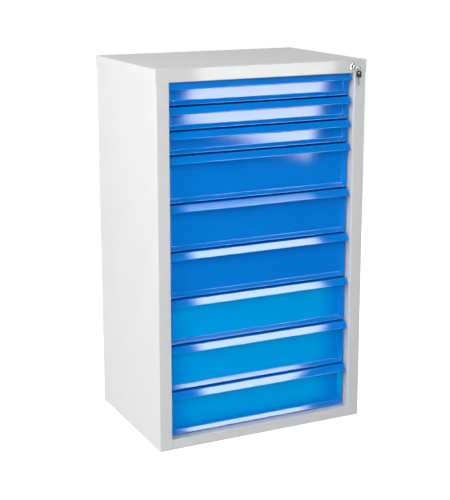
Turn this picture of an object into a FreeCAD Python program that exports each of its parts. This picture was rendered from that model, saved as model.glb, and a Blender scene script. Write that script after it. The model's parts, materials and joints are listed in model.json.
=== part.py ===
"""Lockable nine-drawer steel cabinet, built from folded sheet.

Frame: millimetres, +Z up, the front faces -Y, origin at the centre of the casing's footprint on the floor.
Every function below makes one kind of piece; main() writes one STEP file for each named piece.
"""
import FreeCAD, Part
import math
import os

from FreeCAD import Placement, Rotation, Vector

# ---------------------------------------------------------------- driving dimensions (mm)
# Casing
cabinet_width = 725.0
cabinet_depth = 500.0
drawer_module = 75.0                       # height of one drawer unit
drawer_units = (1, 1, 1, 2, 2, 2, 2, 2, 2)  # units of each drawer, top to bottom
rail_height = 33.0                         # bottom rail of the opening
fascia_height = 42.0                       # band above the opening
stile_width = 42.0                         # face of each front stile
stile_return = 38.0                        # inner fold of a stile, going back
rear_flange = 22.0
casing_sheet = 1.2
casing_bend = 1.6                          # inside radius of a casing fold
cover_overhang = 2.5                       # top cover past the sides and the back
cover_skirt = 36.0                         # side and rear skirts of the top cover
fascia_return = 20.0
rail_return = 50.0                         # top of the bottom rail, going back
rail_notch_width = 8.0                     # open corner where the rail's top meets a stile
rail_notch_start = 20.0                    # front plane to that corner
base_side_flange = 26.0
base_bolt_radius = 4.5
base_bolt_inset_x = 70.0
base_bolt_inset_y = 60.0
side_hole_radius = 2.75
side_hole_height = 13.0

# Drawer fronts
front_sheet = 1.5
front_bend = 1.2
front_side_gap = 4.5                       # front to stile
front_gap = 4.0                            # one front to the next
panel_recess = 36.0                        # front plane of the casing to the flat of a front
pan_depth = 14.0                           # flat of a front to its tray
bevel_width = 14.0                         # bevelled border, seen from the front
bevel_depth = 11.0                         # how far the border comes forward
lip_shelf = 18.0                           # flat of a front to the top edge of its handle lip
lip_reach = 32.0                           # flat of a front to the bottom edge of its handle lip
lip_height = 22.0
lip_hem = 6.0
lip_corner_radius = 8.0
pan_return = 14.0                          # inward fold behind a front, which the tray is welded to

# Trays
tray_sheet = 1.0
tray_bend = 1.0
tray_rear_gap = 20.0                       # tray to the back of the casing
tray_floor_gap = 6.0                       # bottom of a drawer's slot to its tray
tray_top_gap = 9.0                         # top of a drawer's slot to its tray
tray_rim = 7.0

# Telescopic slides
slide_width = 13.0                         # tray to upright
slide_centre = 30.0                        # above the bottom of a drawer's slot
slide_sheet = 1.2
slide_running_gap = 0.6                    # between two members, top and bottom
slide_web_gap = 1.0                        # between two members' webs
inner_member_height = 35.0
inner_member_flange = 7.5
slide_inset = 3.0                          # upright's web inside the end of a drawer front
slide_front_setback = 6.0                  # a slide's front end behind its tray's front wall

# Uprights that carry the slides
upright_depth = 45.0
upright_foot = 12.0
upright_sheet = 1.5
upright_setback = 5.5                      # front upright behind the trays' front walls
upright_top_gap = 50.0                     # clear space between an upright and the top cover
rear_upright_inset = 30.0                  # rear upright in front of the back panel
rivet_across = 7.0
rivet_thick = 2.5

# Lock, cam and keys
lock_x = 312.0
lock_drop = 21.0                           # lock axis below the top of the cabinet
barrel_radius = 9.4
barrel_length = 24.0
barrel_flange_radius = 10.5
barrel_flange_thick = 2.5
plug_radius = 6.5
plug_running_gap = 0.05
plug_proud = 0.5
barrel_fit = 0.1                           # barrel in its hole
flange_chamfer = 1.0
plug_tail_radius = 3.0
lock_nut_across = 24.0
lock_nut_thick = 4.0
cam_radius = 12.5
cam_thick = 3.0
cam_pin_radius = 2.5
cam_pin_clearance = 0.35
cam_pin_past = 1.5                         # pin past the back of the bar
cam_pin_angle = 45.0                       # degrees above level when unlocked, below it when locked
cam_to_bar = 3.0
key_thick = 2.2
key_blade_width = 7.4
key_neck_width = 9.0
key_neck_length = 11.5                     # plug's face to the bow
key_bow_width = 24.0
key_bow_length = 17.0
key_bow_radius = 6.5
key_web = 2.6                              # rim of the bow round its hole
key_blade_in_plug = 22.0
keyway_clearance = 0.1
ring_wire_radius = 0.8
ring_mean_radius = 9.5
ring_play = 0.2                            # ring past the corner of the key's rim
ring_turn = 30.0                           # degrees the ring's plane is turned from the front plane
spare_bow_width = 18.0
spare_bow_height = 22.0
spare_bow_thick = 3.0
spare_bow_radius = 6.0
spare_hole_radius = 3.6
spare_web = 3.5                            # bow above its hole
spare_hang_gap = 0.3
spare_blade_length = 26.0
spare_blade_width = 7.4
spare_blade_thick = 2.0
spare_blade_buried = 6.0                   # blade held inside the moulded bow

# Locking bar
bar_travel = 12.0
bar_thick = 3.0
bar_width = 19.5
bar_gap = 0.5                              # bar to uprights and to slides
bar_foot = 60.0                            # lower end above the floor
bar_head = 6.0                             # bar above its cam slot
lug_reach = 7.5                            # lug past the inner edge of the bar
lug_height = 6.0
catch_reach = 11.0                         # catch past the tray's side
catch_height = 8.0
catch_length = 12.0
catch_wall = 2.0
catch_over_slide = 2.9                     # clear space between a slide and the catch over it
lug_over_catch = 4.0                       # clear space between an unlocked lug and its catch
lug_to_catch = 0.7                         # front to back, when locked
stud_radius = 3.0
stud_head_radius = 6.0
stud_head_thick = 1.5
stud_clearance = 0.3
stud_play = 0.3                            # bar between the studs' heads and the upright
stud_levels = (0.12, 0.5, 0.86)            # places of the studs along the bar

# ---------------------------------------------------------------- places that follow from them
half_width = cabinet_width / 2
front_y = -cabinet_depth / 2
back_y = cabinet_depth / 2
opening_top = rail_height + sum(drawer_units) * drawer_module
cabinet_height = opening_top + fascia_height
opening_half = half_width - stile_width
inner_half = half_width - casing_sheet      # inner face of a side panel
cover_under = cabinet_height - casing_sheet
front_half = opening_half - front_side_gap
panel_y = front_y + panel_recess
tray_front = panel_y + pan_depth
tray_back = back_y - tray_rear_gap
rim_y = panel_y - bevel_depth
slide_front = tray_front + slide_front_setback
upright_front = tray_front + upright_setback
bar_back = upright_front - bar_gap
bar_front = bar_back - bar_thick
catch_front = bar_back + lug_to_catch
cam_front = bar_front - cam_to_bar - cam_thick
outer_member_half = inner_member_height / 2 + 2 * (slide_sheet + slide_running_gap)
upright_half = front_half - slide_inset
rear_upright_front = back_y - rear_upright_inset - upright_depth
tray_half = upright_half - slide_width
bar_left = upright_half + bar_gap
lock_z = cabinet_height - lock_drop
catch_base = slide_centre + outer_member_half + catch_over_slide
lug_base = catch_base + catch_height + lug_over_catch
pin_angle = math.radians(cam_pin_angle)
crank_radius = bar_travel / (2 * math.sin(pin_angle))
pin_x = lock_x + crank_radius * math.cos(pin_angle)
pin_z = lock_z + bar_travel / 2
bar_top = pin_z + bar_head
key_bow_y = front_y - barrel_flange_thick - plug_proud - key_neck_length - key_bow_length / 2
ring_x = lock_x + key_bow_width / 2 - key_web / 2
rim_half_diagonal = math.hypot(key_web, key_thick) / 2
ring_drop = ring_mean_radius - ring_wire_radius - rim_half_diagonal - ring_play
ring_z = lock_z - ring_drop
ring_bottom = ring_z - ring_mean_radius
margin = 5.0                                # how far a cutting tool runs past what it cuts


# ---------------------------------------------------------------- drawing helpers
def plan(point, level=0.0):
    """A point of a plan section: (x, y)."""
    return Vector(point[0], point[1], level)


def side_view(point, level=0.0):
    """A point of a section seen from the side: (y, z)."""
    return Vector(level, point[0], point[1])


def front_view(point, level=0.0):
    """A point of a section seen from the front: (x, z)."""
    return Vector(point[0], level, point[1])


def unit(a, b):
    length = math.hypot(b[0] - a[0], b[1] - a[1])
    return (b[0] - a[0]) / length, (b[1] - a[1]) / length


def offset_corners(path, distance):
    """The path moved to its left by a distance, with its corners where the moved runs meet."""
    runs = [unit(a, b) for a, b in zip(path, path[1:])]
    moved = [(path[0][0] - runs[0][1] * distance, path[0][1] + runs[0][0] * distance)]
    for corner, before, after in zip(path[1:-1], runs, runs[1:]):
        share = distance / (1 + before[0] * after[0] + before[1] * after[1])
        moved.append((corner[0] - (before[1] + after[1]) * share, corner[1] + (before[0] + after[0]) * share))
    moved.append((path[-1][0] - runs[-1][1] * distance, path[-1][1] + runs[-1][0] * distance))
    return moved


def left_turns(path):
    """For each inner corner of a path, whether it turns left."""
    runs = [unit(a, b) for a, b in zip(path, path[1:])]
    return [a[0] * b[1] - a[1] * b[0] > 0 for a, b in zip(runs, runs[1:])]


def rounded_edges(path, radii, view, level):
    """Lines and tangent arcs along a path whose inner corners have these radii."""
    edges = []
    start = view(path[0], level)
    for before, corner, after, radius in zip(path, path[1:], path[2:], radii):
        if not radius:
            edges.append(Part.LineSegment(start, view(corner, level)).toShape())
            start = view(corner, level)
            continue
        back = Vector(*unit(corner, before), 0)
        ahead = Vector(*unit(corner, after), 0)
        half_angle = back.getAngle(ahead) / 2
        run = radius / math.tan(half_angle)
        inward = (back + ahead).normalize()
        reach = radius / math.sin(half_angle) - radius
        first = view((corner[0] + back.x * run, corner[1] + back.y * run), level)
        middle = view((corner[0] + inward.x * reach, corner[1] + inward.y * reach), level)
        last = view((corner[0] + ahead.x * run, corner[1] + ahead.y * run), level)
        edges.append(Part.LineSegment(start, first).toShape())
        edges.append(Part.Arc(first, middle, last).toShape())
        start = last
    edges.append(Part.LineSegment(start, view(path[-1], level)).toShape())
    return edges


def folded_sheet(path, sheet, bend, view, start, stop):
    """A folded sheet: path is its outer face in section, the sheet lies to the left of it.

    bend is the inside radius of its folds, or None where they are left sharp.
    """
    inner = offset_corners(path, sheet)
    turns = left_turns(path)
    wide = 0.0 if bend is None else bend + sheet
    outer_radii = [wide if left else bend for left in turns]
    inner_radii = [bend if left else wide for left in turns]
    edges = rounded_edges(path, outer_radii, view, start)
    edges.append(Part.LineSegment(view(path[-1], start), view(inner[-1], start)).toShape())
    edges += rounded_edges(inner[::-1], inner_radii[::-1], view, start)
    edges.append(Part.LineSegment(view(inner[0], start), view(path[0], start)).toShape())
    face = Part.Face(Part.Wire(Part.__sortEdges__(edges)))
    along = view((0.0, 0.0), stop - start) - view((0.0, 0.0), 0.0)
    return face.extrude(along)


def box(low, high):
    return Part.makeBox(high[0] - low[0], high[1] - low[1], high[2] - low[2], Vector(*low))


def rod(radius, start, length, direction):
    return Part.makeCylinder(radius, length, Vector(*start), Vector(*direction))


def mirrored(shape):
    """The same piece for the other side of the cabinet."""
    return shape.mirror(Vector(0, 0, 0), Vector(1, 0, 0))


def hexagon(across, thick, centre, direction):
    """A hexagonal head or nut with its first face at centre."""
    radius = across / math.sqrt(3)
    angles = [math.pi * k / 3 for k in range(7)]
    corners = [Vector(radius * math.cos(angle), radius * math.sin(angle), 0) for angle in angles]
    prism = Part.Face(Part.makePolygon(corners)).extrude(Vector(0, 0, thick))
    prism.Placement = Placement(Vector(*centre), Rotation(Vector(0, 0, 1), Vector(*direction)))
    return prism


def stadium(length, width, thick, centre, long_axis, short_axis):
    """A slot-shaped plate, centred, with its thickness across both axes."""
    along = Vector(*long_axis)
    across = Vector(*short_axis)
    reach = along * (length / 2 - width / 2)
    side = across * (width / 2)
    tip = along * (length / 2)
    normal = along.cross(across)
    middle = Vector(*centre) - normal * (thick / 2)
    edges = [
        Part.LineSegment(middle - reach + side, middle + reach + side).toShape(),
        Part.Arc(middle + reach + side, middle + tip, middle + reach - side).toShape(),
        Part.LineSegment(middle + reach - side, middle - reach - side).toShape(),
        Part.Arc(middle - reach - side, middle - tip, middle - reach + side).toShape(),
    ]
    return Part.Face(Part.Wire(edges)).extrude(normal * thick)


# ---------------------------------------------------------------- casing
def right_side_panel():
    """One sheet: rear flange, side, front stile and the stile's inner return."""
    path = [
        (half_width - rear_flange, back_y),
        (half_width, back_y),
        (half_width, front_y),
        (opening_half, front_y),
        (opening_half, front_y + stile_return),
    ]
    panel = folded_sheet(path[::-1], casing_sheet, casing_bend, plan, 0.0, cover_under)
    above_stile = box(
        (opening_half - margin, front_y - margin, opening_top),
        (half_width + margin, front_y + casing_sheet, cabinet_height),
    )
    above_return = box(
        (opening_half - margin, front_y - margin, opening_top),
        (half_width - casing_sheet - casing_bend, front_y + stile_return + margin, cabinet_height),
    )
    hole = rod(side_hole_radius, (half_width - margin, 0.0, side_hole_height), 2 * margin, (1, 0, 0))
    return panel.cut(above_stile).cut(above_return).cut(hole)


def back_panel():
    """Flat sheet against the side panels' rear flanges."""
    half = inner_half - casing_bend
    return box((-half, back_y - 2 * casing_sheet, casing_sheet), (half, back_y - casing_sheet, cover_under))


def base_tray():
    """Base sheet on the floor; its front folds up into the bottom rail and back over it."""
    rail = folded_sheet(
        [
            (back_y - 2 * casing_sheet, 0.0),
            (front_y, 0.0),
            (front_y, rail_height),
            (front_y + rail_return, rail_height),
        ][::-1],
        casing_sheet, casing_bend, side_view, -opening_half, opening_half,
    )
    stile_back = front_y + stile_return
    floor = box((-inner_half, stile_back, 0.0), (inner_half, back_y - 2 * casing_sheet, casing_sheet))
    tray = rail.fuse(floor)
    for side in (-1, 1):
        outer = side * inner_half
        flange = box(
            (min(outer, outer - side * casing_sheet), stile_back, 0.0),
            (max(outer, outer - side * casing_sheet), back_y - 2 * casing_sheet, base_side_flange),
        )
        notch_edge = side * (opening_half - rail_notch_width)
        notch = box(
            (min(notch_edge, side * half_width), front_y + rail_notch_start, rail_height - 2 * casing_sheet),
            (max(notch_edge, side * half_width), front_y + rail_return + margin, rail_height + margin),
        )
        tray = tray.fuse(flange).cut(notch)
    rear = box(
        (-inner_half, back_y - 3 * casing_sheet, 0.0),
        (inner_half, back_y - 2 * casing_sheet, rail_height - casing_sheet),
    )
    tray = tray.fuse(rear)
    for x in (-half_width + base_bolt_inset_x, half_width - base_bolt_inset_x):
        for y in (-base_bolt_inset_y + back_y, base_bolt_inset_y + front_y):
            tray = tray.cut(rod(base_bolt_radius, (x, y, -margin), 2 * margin, (0, 0, 1)))
    side_holes = rod(side_hole_radius, (-half_width, 0.0, side_hole_height), cabinet_width, (1, 0, 0))
    return tray.cut(side_holes).removeSplitter()


def top_cover():
    """Lid with a deep front fascia, which has a return under it, and shallower skirts on three sides."""
    cover_half = half_width + cover_overhang
    cover_back = back_y + cover_overhang
    edge_bend = casing_bend + casing_sheet
    block = box((-cover_half, front_y, opening_top), (cover_half, cover_back, cabinet_height))
    outer_edges = [edge for edge in block.Edges if edge.CenterOfMass.z > opening_top]
    block = block.makeFillet(edge_bend, outer_edges)
    hollow = box(
        (-cover_half + casing_sheet, front_y + casing_sheet, opening_top - margin),
        (cover_half - casing_sheet, cover_back - casing_sheet, cabinet_height - casing_sheet),
    )
    upper_edges = [edge for edge in hollow.Edges if edge.CenterOfMass.z > opening_top]
    hollow = hollow.makeFillet(casing_bend, upper_edges)
    skirt_cut = box(
        (-cover_half - margin, front_y + casing_sheet, opening_top - margin),
        (cover_half + margin, cover_back + margin, cabinet_height - cover_skirt),
    )
    cover = block.cut(hollow).cut(skirt_cut)
    below = folded_sheet(
        [
            (front_y, opening_top + fascia_height / 2),
            (front_y, opening_top),
            (front_y + fascia_return, opening_top),
        ],
        casing_sheet, casing_bend, side_view, -opening_half, opening_half,
    )
    sharp_edge = box(
        (-opening_half, front_y, opening_top),
        (opening_half, front_y + casing_sheet, opening_top + fascia_height / 2),
    )
    lock_hole = rod(barrel_radius, (lock_x, front_y - margin, lock_z), 2 * margin, (0, 1, 0))
    return cover.cut(sharp_edge).fuse(below).cut(lock_hole).removeSplitter()


def upright(front):
    """Hat section on a side panel; its web carries the slides."""
    web = upright_half + upright_sheet
    near = front + upright_sheet
    far = front + upright_depth - upright_sheet
    path = [
        (inner_half, near - upright_foot),
        (inner_half, near),
        (web, near),
        (web, far),
        (inner_half, far),
        (inner_half, far + upright_foot),
    ]
    return folded_sheet(path, upright_sheet, None, plan, base_side_flange, cover_under - upright_top_gap)


# ---------------------------------------------------------------- drawers
def slots():
    """Bottom and top of each drawer's slot, top drawer first."""
    top = opening_top
    found = []
    for units in drawer_units:
        bottom = top - units * drawer_module
        found.append((bottom, top))
        top = bottom
    return found


def dish(near_y, near_half, near_low, far_y, far_half, far_low, high):
    """The hollow in front of a drawer's panel: bevelled on both sides and below, open above."""
    return Part.makeWedge(
        -near_half, near_y, near_low, far_low, -far_half,
        near_half, far_y, high, high, far_half,
    )


def drawer_front(slot):
    """Pressed pan with a bevelled border, a shelf over it and a sloping handle lip in front."""
    low = slot[0] + front_gap / 2
    high = slot[1] - front_gap / 2
    bevel_length = math.hypot(bevel_width, bevel_depth)
    back_shift = front_sheet * bevel_length / bevel_width
    back_widening = (back_shift - front_sheet) * bevel_width / bevel_depth
    back_half = front_half - bevel_width + back_widening
    back_low = low + bevel_width - back_widening
    pan = box((-front_half, rim_y, low), (front_half, tray_front, high))
    face_hollow = dish(
        rim_y, front_half, low, panel_y, front_half - bevel_width, low + bevel_width, high - front_sheet,
    )
    rim_inside = rim_y + back_shift + front_sheet * bevel_depth / bevel_width
    back_hollow = box(
        (-front_half + front_sheet, rim_inside, low + front_sheet),
        (front_half - front_sheet, tray_front - front_sheet, high - front_sheet),
    )
    back_of_face = dish(
        rim_y + back_shift, front_half, low, panel_y + front_sheet, back_half, back_low, high,
    )
    window = box(
        (-front_half + pan_return, panel_y + 2 * front_sheet, low + pan_return),
        (front_half - pan_return, tray_front + margin, high - pan_return),
    )
    pan = pan.cut(face_hollow).cut(back_hollow.cut(back_of_face)).cut(window)
    lip_path = [
        (panel_y + front_sheet, high),
        (panel_y - lip_shelf, high),
        (panel_y - lip_reach, high - lip_height),
        (panel_y - lip_reach + lip_hem, high - lip_height),
    ]
    lip = folded_sheet(lip_path, front_sheet, front_bend, side_view, -front_half, front_half)
    lip_front = panel_y - lip_reach - margin
    lip_low = high - lip_height
    for side in (-1, 1):
        centre_x = side * (front_half - lip_corner_radius)
        past_x = side * (front_half + margin)
        centre_z = lip_low + lip_corner_radius
        corner = box(
            (min(centre_x, past_x), lip_front, lip_low - margin),
            (max(centre_x, past_x), rim_y - front_sheet, centre_z),
        )
        kept = rod(lip_corner_radius, (centre_x, lip_front - margin, centre_z), lip_reach * 2, (0, 1, 0))
        lip = lip.cut(corner.cut(kept))
    return pan.fuse(lip).removeSplitter()


def drawer_tray(slot):
    """Open tray: floor and sides are one folded sheet with safe rims, the ends are welded in."""
    low = slot[0] + tray_floor_gap
    high = slot[1] - tray_top_gap
    path = [
        (-tray_half + tray_rim, high),
        (-tray_half, high),
        (-tray_half, low),
        (tray_half, low),
        (tray_half, high),
        (tray_half - tray_rim, high),
    ]
    tray = folded_sheet(path, tray_sheet, tray_bend, front_view, tray_front, tray_back)
    end_path = [(tray_front + tray_rim, high), (tray_front, high), (tray_front, low + tray_sheet)]
    end_half = tray_half - tray_sheet
    front_wall = folded_sheet(end_path, tray_sheet, None, side_view, -end_half, end_half)
    middle_y = (tray_front + tray_back) / 2
    back_wall = front_wall.mirror(Vector(0, middle_y, 0), Vector(0, 1, 0))
    return tray.fuse([front_wall, back_wall]).removeSplitter()


# ---------------------------------------------------------------- telescopic slides
def channel(web_near, web_far, flange_end, half_height):
    """C-section slide member for the right side: web between two places in x, flanges towards flange_end."""
    outer = max(web_near, web_far) if flange_end < web_near else min(web_near, web_far)
    inner = min(web_near, web_far) if flange_end < web_near else max(web_near, web_far)
    corners = [
        (flange_end, -half_height), (outer, -half_height), (outer, half_height), (flange_end, half_height),
        (flange_end, half_height - slide_sheet), (inner, half_height - slide_sheet),
        (inner, slide_sheet - half_height), (flange_end, slide_sheet - half_height),
    ]
    wire = Part.makePolygon([front_view(corner, slide_front) for corner in corners + corners[:1]])
    return Part.Face(wire).extrude(Vector(0, tray_back - slide_front, 0))


def inner_member():
    """Member fixed to the tray."""
    flange_end = tray_half + inner_member_flange
    return channel(tray_half, tray_half + slide_sheet, flange_end, inner_member_height / 2)


def middle_member():
    """Member that runs between the other two."""
    web = upright_half - slide_sheet - slide_web_gap
    half = inner_member_height / 2 + slide_sheet + slide_running_gap
    return channel(web, web - slide_sheet, tray_half + slide_sheet + slide_web_gap, half)


def outer_member():
    """Member fixed to the uprights."""
    return channel(
        upright_half, upright_half - slide_sheet, tray_half + slide_sheet + slide_web_gap, outer_member_half,
    )


def pair(shape, slot):
    """A slide member and its mirror image, at the height of a drawer's slot."""
    placed = shape.translated(Vector(0, 0, slot[0] + slide_centre))
    return [placed, mirrored(placed)]


def lock_catch(slot):
    """Folded catch on the right side of a tray, which the locking bar's lug stands in front of."""
    low = slot[0] + catch_base
    end = tray_half + catch_reach
    path = [
        (tray_half, catch_front + catch_length),
        (tray_half, catch_front),
        (end, catch_front),
    ]
    return folded_sheet(path, catch_wall, None, plan, low, low + catch_height)


def slide_rivets():
    """Rivet heads on the hidden side of the uprights, one behind each end of each slide."""
    heads = []
    for slot in slots():
        for front in (upright_front, rear_upright_front):
            place = (upright_half + upright_sheet, front + upright_depth / 2, slot[0] + slide_centre)
            head = hexagon(rivet_across, rivet_thick, place, (1, 0, 0))
            heads += [head, mirrored(head)]
    return heads


# ---------------------------------------------------------------- lock, cam and locking bar
def lock_housing():
    """Barrel through the fascia, with a flange in front."""
    face = front_y - barrel_flange_thick
    barrel = rod(barrel_radius - barrel_fit, (lock_x, front_y, lock_z), barrel_length, (0, 1, 0))
    flange = rod(barrel_flange_radius, (lock_x, face, lock_z), barrel_flange_thick, (0, 1, 0))
    rims = [edge for edge in flange.Edges if edge.Closed and edge.CenterOfMass.y < front_y - plug_proud]
    flange = flange.makeChamfer(flange_chamfer, rims)
    bore = rod(plug_radius + plug_running_gap, (lock_x, face - margin, lock_z), barrel_length * 2, (0, 1, 0))
    return barrel.fuse(flange).cut(bore).removeSplitter()


def lock_nut():
    """Hexagonal nut behind the fascia."""
    nut = hexagon(lock_nut_across, lock_nut_thick, (lock_x, front_y + casing_sheet, lock_z), (0, 1, 0))
    return nut.cut(rod(barrel_radius, (lock_x, front_y - margin, lock_z), barrel_length, (0, 1, 0)))


def lock_plug():
    """Turning plug with its keyway and a tail that carries the cam."""
    face = front_y - barrel_flange_thick - plug_proud
    rear = front_y + barrel_length + plug_proud
    plug = rod(plug_radius, (lock_x, face, lock_z), rear - face, (0, 1, 0))
    tail = rod(plug_tail_radius, (lock_x, rear, lock_z), cam_front - rear, (0, 1, 0))
    slot_half = key_blade_width / 2 + keyway_clearance
    slot_thick = spare_blade_thick + 2 * keyway_clearance
    keyway = box(
        (lock_x - slot_half, face - margin, lock_z - slot_thick / 2),
        (lock_x + slot_half, face + key_blade_in_plug + keyway_clearance, lock_z + slot_thick / 2),
    )
    return plug.fuse(tail).cut(keyway).removeSplitter()


def lock_cam():
    """Disc on the plug's tail with a pin that lifts the locking bar; unlocked, the pin is up."""
    disc = rod(cam_radius, (lock_x, cam_front, lock_z), cam_thick, (0, 1, 0))
    pin_length = bar_back + cam_pin_past - cam_front - cam_thick
    pin = rod(cam_pin_radius, (pin_x, cam_front + cam_thick, pin_z), pin_length, (0, 1, 0))
    return disc.fuse(pin).removeSplitter()


def lock_key():
    """Key in the lock: blade, neck and a flat bow with a wide hole, lying level when unlocked."""
    face = front_y - barrel_flange_thick - plug_proud
    bow_start = key_bow_y + key_bow_length / 2
    blade = box(
        (lock_x - key_blade_width / 2, face, lock_z - spare_blade_thick / 2),
        (lock_x + key_blade_width / 2, face + key_blade_in_plug, lock_z + spare_blade_thick / 2),
    )
    neck = box(
        (lock_x - key_neck_width / 2, bow_start - key_web / 2, lock_z - key_thick / 2),
        (lock_x + key_neck_width / 2, face, lock_z + key_thick / 2),
    )
    bow = rounded_plate(key_bow_width, key_bow_length, key_bow_radius, key_thick)
    inner_width = key_bow_width - 2 * key_web
    inner_length = key_bow_length - 2 * key_web
    hole = rounded_plate(inner_width, inner_length, key_bow_radius - key_web, key_thick + margin)
    bow = bow.cut(hole)
    bow.translate(Vector(lock_x, key_bow_y, lock_z))
    return blade.fuse([neck, bow]).removeSplitter()


def rounded_plate(width, length, radius, thick):
    """Level plate with rounded corners, centred on the origin."""
    plate = Part.makeBox(width, length, thick, Vector(-width / 2, -length / 2, -thick / 2))
    upright_edges = [edge for edge in plate.Edges if abs(edge.tangentAt(edge.FirstParameter).z) > 0.5]
    return plate.makeFillet(radius, upright_edges)


def key_ring():
    """Ring that hangs from the rim of the key's bow."""
    turn = math.radians(ring_turn)
    axis = Vector(-math.sin(turn), math.cos(turn), 0)
    return Part.makeTorus(ring_mean_radius, ring_wire_radius, Vector(ring_x, key_bow_y, ring_z), axis)


def spare_frame():
    """Places the spare key, drawn hanging from the origin in the front plane, on the ring."""
    return Placement(Vector(ring_x, key_bow_y, ring_bottom), Rotation(Vector(0, 0, 1), ring_turn - 90.0))


def spare_key_bow():
    """Moulded bow of the spare key; its hole's top rests on the ring."""
    hole_z = ring_wire_radius + spare_hang_gap - spare_hole_radius
    top = hole_z + spare_hole_radius + spare_web
    low = top - spare_bow_height
    plate = rounded_plate(spare_bow_width, spare_bow_height, spare_bow_radius, spare_bow_thick)
    plate.rotate(Vector(0, 0, 0), Vector(1, 0, 0), 90)
    plate.translate(Vector(0, 0, (top + low) / 2))
    hole = rod(spare_hole_radius, (0, -margin, hole_z), 2 * margin, (0, 1, 0))
    bow = plate.cut(hole).cut(spare_blade_box(low))
    bow.Placement = spare_frame().multiply(bow.Placement)
    return bow


def spare_blade_box(low):
    """Blade of the spare key, its upper end held in the bow whose lower edge is at low."""
    return box(
        (-spare_blade_width / 2, -spare_blade_thick / 2, low - spare_blade_length),
        (spare_blade_width / 2, spare_blade_thick / 2, low + spare_blade_buried),
    )


def spare_key_blade():
    """Blade of the spare key with a pointed tip and a groove along it."""
    low = ring_wire_radius + spare_hang_gap + spare_web - spare_bow_height
    blade = spare_blade_box(low)
    tip = low - spare_blade_length
    for side in (-1, 1):
        corners = [
            (side * spare_blade_width, tip - margin),
            (side * spare_blade_width, tip + spare_blade_width),
            (0, tip),
            (0, tip - margin),
        ]
        wire = Part.makePolygon([front_view(corner, -margin) for corner in corners + corners[:1]])
        blade = blade.cut(Part.Face(wire).extrude(Vector(0, 2 * margin, 0)))
    blade.Placement = spare_frame().multiply(blade.Placement)
    return blade


def stud_places():
    """Heights of the studs that guide the bar."""
    return [bar_foot + share * (bar_top - bar_foot) for share in stud_levels]


def locking_bar():
    """Flat bar with slots for its studs and the cam's pin, and one lug over each drawer's catch."""
    left = bar_left
    right = left + bar_width
    bar = box((left, bar_front, bar_foot), (right, bar_back, bar_top))
    slot_width = 2 * (stud_radius + stud_clearance)
    for level in stud_places():
        slot = stadium(
            slot_width + bar_travel, slot_width, 2 * margin,
            (left + bar_width / 2, bar_back, level + bar_travel / 2), (0, 0, 1), (1, 0, 0),
        )
        bar = bar.cut(slot)
    cam_slot_height = 2 * (cam_pin_radius + cam_pin_clearance)
    cam_slot_length = crank_radius - (pin_x - lock_x) + cam_slot_height
    cam_slot = stadium(
        cam_slot_length, cam_slot_height, 2 * margin,
        (pin_x + (cam_slot_length - cam_slot_height) / 2, bar_back, pin_z), (1, 0, 0), (0, 0, 1),
    )
    pieces = [bar.cut(cam_slot)]
    for slot in slots():
        low = slot[0] + lug_base
        pieces.append(box((left - lug_reach, bar_front, low), (left, bar_back, low + lug_height)))
    return pieces


def locking_bar_studs():
    """Shouldered studs on the right front upright; the bar slides on them."""
    studs = []
    x = bar_left + bar_width / 2
    shoulder = bar_front - stud_play
    for level in stud_places():
        shank = rod(stud_radius, (x, shoulder, level), upright_front - shoulder, (0, 1, 0))
        head = rod(stud_head_radius, (x, shoulder - stud_head_thick, level), stud_head_thick, (0, 1, 0))
        studs.append(shank.fuse(head).removeSplitter())
    return studs


# ---------------------------------------------------------------- output
def write(name, *shapes):
    """One STEP file for a piece, or for a group of like pieces."""
    shape = shapes[0] if len(shapes) == 1 else Part.makeCompound(list(shapes))
    shape.exportStep("parts/%s.step" % name)


def main():
    os.makedirs("parts", exist_ok=True)
    side = right_side_panel()
    write("right_side_panel", side)
    write("left_side_panel", mirrored(side))
    write("back_panel", back_panel())
    write("base_tray", base_tray())
    write("top_cover", top_cover())
    for place, front in (("front", upright_front), ("rear", rear_upright_front)):
        hat = upright(front)
        write("right_%s_upright" % place, hat)
        write("left_%s_upright" % place, mirrored(hat))
    fixed = []
    for number, slot in enumerate(slots(), start=1):
        write("drawer_%d_front" % number, drawer_front(slot))
        write("drawer_%d_tray" % number, drawer_tray(slot))
        write("drawer_%d_runners" % number, *pair(inner_member(), slot), lock_catch(slot))
        write("slide_%d_middle" % number, *pair(middle_member(), slot))
        fixed += pair(outer_member(), slot)
    write("slide_fixed_members", *fixed)
    write("slide_rivets", *slide_rivets())
    write("lock_housing", lock_housing())
    write("lock_nut", lock_nut())
    write("lock_plug", lock_plug())
    write("lock_cam", lock_cam())
    write("lock_key", lock_key())
    write("key_ring", key_ring())
    write("spare_key_bow", spare_key_bow())
    write("spare_key_blade", spare_key_blade())
    write("locking_bar", *locking_bar())
    write("locking_bar_studs", *locking_bar_studs())


main()
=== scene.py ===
"""Lockable drawer cabinet: the sheets, fronts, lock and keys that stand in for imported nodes, and finishes.

Each new piece is a surface worked out with numpy, in metres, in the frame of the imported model: +Z up, drawers
open towards -Y, origin on the floor under the middle of the casing. Nodes that no piece stands for keep their
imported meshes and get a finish.
"""
import json
import math

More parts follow.
